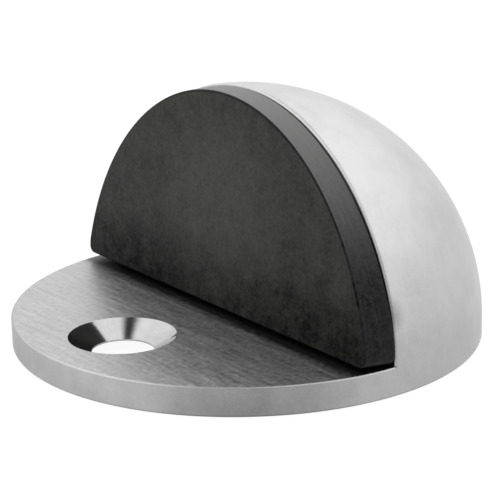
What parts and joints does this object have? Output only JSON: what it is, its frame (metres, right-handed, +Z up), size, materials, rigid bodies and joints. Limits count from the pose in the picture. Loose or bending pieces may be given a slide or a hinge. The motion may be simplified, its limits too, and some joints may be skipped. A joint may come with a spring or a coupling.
{
  "type": "half-dome floor door stop",
  "caption": "Round floor-mounted door stop: a hollow half dome on a base disc, with a D-shaped rubber buffer that the door meets and a countersunk screw hole.",
  "frame": {"origin": "centre of the base disc's underside, on the floor", "axes": "+Z up out of the floor, -Y out of the rubber buffer towards the door, +X to the right seen from behind the dome"},
  "size_m": [0.045, 0.045, 0.024],
  "materials": {
    "satin_steel": "fine satin, straight-grained on the disc's top",
    "black_rubber": "matt moulded",
    "plated_steel": "zinc plated",
    "turned_steel": "turned",
    "spring_steel": "oil-blacked spring steel"
  },
  "bodies": {
    "root": {"dome_body": "satin_steel", "rubber_buffer": "black_rubber", "buffer_core_plate": "plated_steel", "buffer_stud_left": "turned_steel", "buffer_stud_right": "turned_steel", "stud_clip_left": "spring_steel", "stud_clip_right": "spring_steel"}
  },
  "joints": []
}
